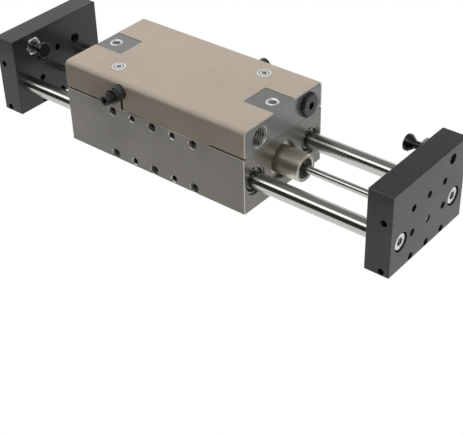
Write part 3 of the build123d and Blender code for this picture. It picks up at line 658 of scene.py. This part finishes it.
@dataclass(frozen=True)
class Housing:
    """The two blocks, the bent cover, their screws, and the threads in the ends and sides.

    Attributes:
        lining_start: How far below the face each lining starts.
        mouth_depth: Depth of a chamfered mouth.
        stop_offset: Distance of an open stop bore from the middle.
        stop_bore: Its radius.
        stop_mouth: How much wider its mouth is.
        stop_thread: Height, pitch and length of its thread.
        side_spacing: Distance between two columns of side holes.
        side_columns: Columns on each side of the middle one.
        side_row_edge: Distance of a row from the block's edge.
        side_hole: Radius of a side hole.
        side_mouth_flare: How much wider its mouth is.
        side_thread: Height, pitch and length of its thread.
        side_seat: Radius of a seat.
        side_seat_depth: Its depth.
        side_seat_rim: How deep the broken rim of a seat goes, and how much wider it is.
    """

    lining_start: float = 0.02 * MM
    mouth_depth: float = 0.6 * MM
    stop_offset: float = 28.5 * MM
    stop_bore: float = 8.0 * MM
    stop_mouth: float = 0.55 * MM
    stop_thread: tuple[float, float, float] = (1.0 * MM, 2.0 * MM, 30.0 * MM)
    side_spacing: float = 20.0 * MM
    side_columns: int = 2
    side_row_edge: float = 4.5 * MM
    side_hole: float = 2.6 * MM
    side_mouth_flare: float = 0.57 * MM
    side_thread: tuple[float, float, float] = (0.3 * MM, 1.0 * MM, 6.0 * MM)
    side_seat: float = 3.75 * MM
    side_seat_depth: float = 1.5 * MM
    side_seat_rim: tuple[float, float] = (0.3 * MM, 0.26 * MM)

    def dress(self) -> None:
        """Gives the blocks, the cover and the screws their finishes."""
        dress(ANODISED_BLOCK, "lower_block")
        dress(ANODISED_UPPER, "upper_block")
        dress(ANODISED_SHEET, "cover")
        dress(NICKEL_HEAD, *both_ends("cover_screw"))
        dress(PLATED_STEEL, "block_screws")

    def stop_threads(self) -> None:
        """Cuts the threads of the open stop bores, one in each end face."""
        low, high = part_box("upper_block")
        height = self.stop_level()
        mouth = ((self.lining_start, self.stop_bore + self.stop_mouth), (self.mouth_depth, self.stop_bore))
        for end, outward in ENDS:
            face = high.x if outward == 1 else low.x
            bore = TappedBore(
                Vector((face, -outward * self.stop_offset, height)),
                Vector((outward, 0, 0)),
                self.stop_bore,
                *self.stop_thread,
                mouth,
                flank_steps=8,
                round_steps=72,
            )
            line_bores(f"stop_bore_mouth_{end}", [bore], CUT_MOUTH, "housing", True)
            line_bores(f"stop_bore_thread_{end}", [bore], CUT_THREAD, "housing", False)

    def stop_level(self) -> float:
        """Height of the stops' centre line, which the stops themselves give.

        Returns:
            Height in metres.
        """
        low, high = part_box("stop_front")
        return (low.z + high.z) / 2

    def side_mouth(self, seated: bool) -> tuple[tuple[float, float], ...]:
        """Describes the machined mouth of a side hole.

        Args:
            seated: Whether the hole has a seat for a locating sleeve.

        Returns:
            Depth and radius of each ring of the mouth.
        """
        hole, flare = self.side_hole, self.side_hole + self.side_mouth_flare
        if not seated:
            return ((self.lining_start, flare), (self.mouth_depth, hole))
        seat, floor = self.side_seat, self.side_seat_depth
        rim_depth, rim_flare = self.side_seat_rim
        rim = ((self.lining_start, seat + rim_flare), (rim_depth, seat), (floor, seat))
        return (*rim, (floor, flare), (floor + self.mouth_depth, hole))

    def side_threads(self) -> None:
        """Cuts the threads of the two rows of side holes, the outer and middle ones with their seats."""
        low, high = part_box("lower_block")
        for side, way in zip(SIDES, (-1, 1)):
            face = low.y if way == -1 else high.y
            outward = Vector((0, way, 0))
            bores = []
            for column in range(-self.side_columns, self.side_columns + 1):
                for level in (low.z + self.side_row_edge, high.z - self.side_row_edge):
                    place = Vector((column * self.side_spacing, face, level))
                    mouth = self.side_mouth(column % 2 == 0)
                    bores.append(TappedBore(place, outward, self.side_hole, *self.side_thread, mouth))
            line_bores(f"side_hole_mouths_{side}", bores, CUT_MOUTH, "housing", True)
            # The side threads are painted nearly black as shade in the holes
            line_bores(f"side_hole_threads_{side}", bores, SHADED_THREAD, "housing", False)

    def build(self) -> None:
        """Dresses the housing and adds its threads."""
        self.dress()
        self.stop_threads()
        self.side_threads()


@dataclass(frozen=True)
class Guides:
    """Guide rods, ball bushes, wipers and snap rings."""

    def build(self) -> None:
        """Gives the guides their finishes."""
        dress(SHAFT_STEEL, "guide_rod_left", "guide_rod_right")
        dress(BEARING_STEEL, *all_corners("bush"))
        dress(MOULDED_CAGE, *all_corners("ball_cage"))
        dress(WIPER_RUBBER, *all_corners("wiper"))
        dress(SPRING_STEEL, *all_corners("snap_ring"))


@dataclass(frozen=True)
class Drive:
    """Cylinder tube, piston rod and what seals them."""

    def build(self) -> None:
        """Gives the drive its finishes."""
        dress(PISTON_STEEL, "piston_rod")
        dress(TURNED_TUBE, "cylinder_tube", *both_ends("tube_collar"))
        dress(SPRING_STEEL, *both_ends("tube_snap_ring"))
        dress(TURNED_GLAND, "piston", *both_ends("rod_gland"))
        dress(NITRILE_RUBBER, "piston_seals", *both_ends("rod_seal"))
        dress(BONDED_MAGNET, "piston_magnet")


@dataclass(frozen=True)
class StopsAndBuffers:
    """Hexagonal stops on the housing and sprung buffers on the plates."""

    def build(self) -> None:
        """Gives stops and buffers their finishes."""
        dress(BLACK_OXIDE, *both_ends("stop"), *both_ends("buffer_body"))
        dress(PLATED_STEEL, *both_ends("buffer_nut"))
        dress(TURNED_ACETAL, *both_ends("buffer_plunger"))


@dataclass(frozen=True)
class AirSupply:
    """Port rings in the notches, the fitting on one side and the plug on the other."""

    def build(self) -> None:
        """Gives ports and fittings their finishes."""
        dress(PALE_RING, *both_ends("port_ring"))
        dress(MOULDED_FITTING, "fitting_body_rear", "fitting_sleeve_rear", "fitting_plug_front")
        dress(BRIGHT_WASHER, "fitting_washer_rear")


@dataclass(frozen=True)
class EndPlates:
    """The two plates of the carriage and the screws that hold the rods."""

    def build(self) -> None:
        """Gives the plates and their screws their finishes."""
        dress(BLACK_PLATE, "front_plate", "rear_plate")
        dress(PLATED_STEEL, *both_ends("rod_screws"))


@dataclass(frozen=True)
class Card:
    """A flat studio card that only polished surfaces see.

    Attributes:
        name: Name of the card.
        centre: Its middle, in metres.
        size: Its width along X and its other side, in metres.
        level: How bright it is, where 1 is white.
        upright: Whether it stands instead of lying flat.
    """

    name: str
    centre: tuple[float, float, float]
    size: tuple[float, float]
    level: float
    upright: bool = False

    def build(self) -> None:
        """Lays the card flat or stands it up, and hides it from the camera, diffuse light, shadows and
        transmission.
        """
        across, along = (value / 2 for value in self.size)
        corners = [(-across, -along), (across, -along), (across, along), (-across, along)]
        points = [(x, 0, y) if self.upright else (x, y, 0) for x, y in corners]
        mesh = bpy.data.meshes.new(self.name)
        mesh.from_pydata(points, [], [(0, 1, 2, 3)])
        paint = bpy.data.materials.new(self.name)
        paint.use_nodes = True
        paint.node_tree.nodes.clear()
        glow = add_node(paint.node_tree, "ShaderNodeEmission", {"Color": WHITE, "Strength": self.level})
        add_node(paint.node_tree, "ShaderNodeOutputMaterial", {"Surface": glow.outputs["Emission"]})
        mesh.materials.append(paint)
        card = bpy.data.objects.new(self.name, mesh)
        card.location = self.centre
        bpy.context.scene.collection.objects.link(card)
        card.visible_camera = False
        card.visible_diffuse = False
        card.visible_shadow = False
        card.visible_transmission = False


@dataclass(frozen=True)
class Studio:
    """Pale floor, white surroundings, two soft lamps and the cards that draw bands on the shafts.

    Attributes:
        floor_size: Width of the floor, in metres.
        floor_drop: How far it lies below the base, so that the two never share a face.
        floor_colour: Its sRGB colour where light falls on it.
        fill: Level of the soft light from all round.
        lamp_power: Power of the overhead lamp, in watts.
        lamp_size: Width of its face, in metres.
        lamp_place: Where it hangs, in metres.
        front_power: Power of the front lamp, in watts.
        front_size: Width of its face, in metres.
        front_place: Where it stands, in metres.
    """

    floor_size: float = 12.0
    floor_drop: float = 0.1 * MM
    floor_colour: str = "B4B4B4"
    fill: float = 0.05
    lamp_power: float = 18.6
    lamp_size: float = 1.3
    lamp_place: tuple[float, float, float] = (-0.35, 0.45, 1.2)
    front_power: float = 6.0
    front_size: float = 0.8
    front_place: tuple[float, float, float] = (1.15, -0.4, 0.45)

    def seen_white(self, tree: bpy.types.NodeTree) -> bpy.types.NodeSocket:
        """Picks the rays that look at the background.

        Args:
            tree: Node tree of the floor or the world.

        Returns:
            Output that is 1 for camera, glossy and transmission rays, and 0 for the rest.
        """
        rays = add_node(tree, "ShaderNodeLightPath")
        some = add_node(
            tree,
            "ShaderNodeMath",
            {0: rays.outputs["Is Camera Ray"], 1: rays.outputs["Is Glossy Ray"]},
            operation="MAXIMUM",
        )
        every = add_node(
            tree,
            "ShaderNodeMath",
            {0: some.outputs[0], 1: rays.outputs["Is Transmission Ray"]},
            operation="MAXIMUM",
        )
        return every.outputs[0]

    def floor(self) -> None:
        """Lays the floor, nearly white and still able to take a shadow."""
        half = self.floor_size / 2
        mesh = bpy.data.meshes.new("floor")
        corners = [(-half, -half, 0), (half, -half, 0), (half, half, 0), (-half, half, 0)]
        mesh.from_pydata(corners, [], [(0, 1, 2, 3)])
        paint = bpy.data.materials.new("matt_white_paper")
        paint.use_nodes = True
        tree = paint.node_tree
        tree.nodes.clear()
        paper = add_node(tree, "ShaderNodeBsdfDiffuse", {"Color": srgb(self.floor_colour)})
        white = add_node(tree, "ShaderNodeEmission", {"Color": WHITE, "Strength": 1.0})
        both = add_node(
            tree,
            "ShaderNodeMixShader",
            {0: self.seen_white(tree), 1: paper.outputs["BSDF"], 2: white.outputs["Emission"]},
        )
        add_node(tree, "ShaderNodeOutputMaterial", {"Surface": both.outputs["Shader"]})
        mesh.materials.append(paint)
        floor = bpy.data.objects.new("floor", mesh)
        floor.location.z = -self.floor_drop
        bpy.context.scene.collection.objects.link(floor)

    def surroundings(self) -> None:
        """Makes the world white where it is looked at and a soft fill elsewhere."""
        world = bpy.data.worlds.new("studio")
        world.use_nodes = True
        tree = world.node_tree
        tree.nodes.clear()
        level = add_node(
            tree,
            "ShaderNodeMapRange",
            {"Value": self.seen_white(tree), "To Min": self.fill, "To Max": 1.0},
        )
        light = add_node(tree, "ShaderNodeBackground", {"Color": WHITE, "Strength": level.outputs["Result"]})
        add_node(tree, "ShaderNodeOutputWorld", {"Surface": light.outputs["Background"]})
        bpy.context.scene.world = world

    def lamp(self, name: str, place: tuple[float, float, float], power: float, size: float) -> None:
        """Hangs a soft lamp that looks at the object.

        Args:
            name: Name of the lamp.
            place: Where it hangs, in metres.
            power: Its power in watts.
            size: Width of its square face, in metres.
        """
        light = bpy.data.lights.new(name, "AREA")
        light.energy = power
        light.size = size
        holder = bpy.data.objects.new(name, light)
        holder.location = place
        holder.rotation_euler = (-Vector(place)).to_track_quat("-Z", "Y").to_euler()
        holder.visible_glossy = False
        holder.visible_camera = False
        bpy.context.scene.collection.objects.link(holder)

    def cards(self) -> None:
        """Hangs the cards whose mirror images are the bands along the shafts."""
        for card in (
            Card("overhead_grey_card", centre=(0.49, 0.785, 1.0), size=(3.0, 2.23), level=0.27),
            Card("overhead_rear_card", centre=(-2.51, 0.785, 1.0), size=(3.0, 2.23), level=0.8),
            Card("overhead_white_card", centre=(-0.7, -0.715, 1.0), size=(5.0, 0.7), level=2.0),
            Card(
                "camera_side_black_card", centre=(-0.5, -1.2, 0.52), size=(5.0, 1.04), level=0.04, upright=True
            ),
            Card("floor_black_card", centre=(-0.5, -0.665, 0.001), size=(5.0, 1.07), level=0.04),
        ):
            card.build()

    def build(self) -> None:
        """Builds the whole studio."""
        self.floor()
        self.surroundings()
        self.lamp("overhead_lamp", self.lamp_place, self.lamp_power, self.lamp_size)
        self.lamp("front_lamp", self.front_place, self.front_power, self.front_size)
        self.cards()
        bpy.context.scene.view_settings.view_transform = "Standard"


@dataclass(frozen=True)
class PhotoCamera:
    """The camera that took the photograph, as fitted to it.

    Attributes:
        image_width: Width of the photograph, in pixels.
        focal_length: Focal length, in pixels.
        sensor: Width of the sensor, in millimetres.
        azimuth: Direction from the object, in degrees.
        elevation: Height over the object, in degrees.
        roll: Turn about the line of sight, in degrees.
        target: What the camera looks at, in millimetres.
        distance: Distance to it, in millimetres.
        nearest: Where the view starts, in metres.
        farthest: Where it ends, in metres.
    """

    image_width: float = 463.0
    focal_length: float = 1163.03
    sensor: float = 36.0
    azimuth: float = 39.93
    elevation: float = 35.888
    roll: float = -1.638
    target: tuple[float, float, float] = (62.531, -31.772, -22.225)
    distance: float = 880.721
    nearest: float = 0.01
    farthest: float = 50.0

    def build(self) -> None:
        """Places the camera and makes it the scene's own."""
        turn, rise, tilt = (math.radians(value) for value in (self.azimuth, self.elevation, self.roll))
        back = Vector((math.sin(turn) * math.cos(rise), -math.cos(turn) * math.cos(rise), math.sin(rise)))
        level = Vector((math.cos(turn), math.sin(turn), 0))
        upright = back.cross(level)
        right = level * math.cos(tilt) + upright * math.sin(tilt)
        up = upright * math.cos(tilt) - level * math.sin(tilt)
        data = bpy.data.cameras.new("photo_camera")
        data.sensor_fit = "HORIZONTAL"
        data.sensor_width = self.sensor
        data.lens = self.focal_length * self.sensor / self.image_width
        data.clip_start = self.nearest
        data.clip_end = self.farthest
        camera = bpy.data.objects.new("photo_camera", data)
        place = Vector(self.target) * MM + back * self.distance * MM
        camera.matrix_world = Matrix.Translation(place) @ Matrix((right, up, back)).transposed().to_4x4()
        bpy.context.scene.collection.objects.link(camera)
        bpy.context.scene.camera = camera


def main() -> None:
    """Dresses the module piece by piece, then builds the studio and the camera."""
    logging.basicConfig(level=logging.INFO, format="%(message)s")
    for assembly in (Housing(), Guides(), Drive(), StopsAndBuffers(), AirSupply(), EndPlates()):
        assembly.build()
    Studio().build()
    PhotoCamera().build()


if __name__ == "__main__":
    main()
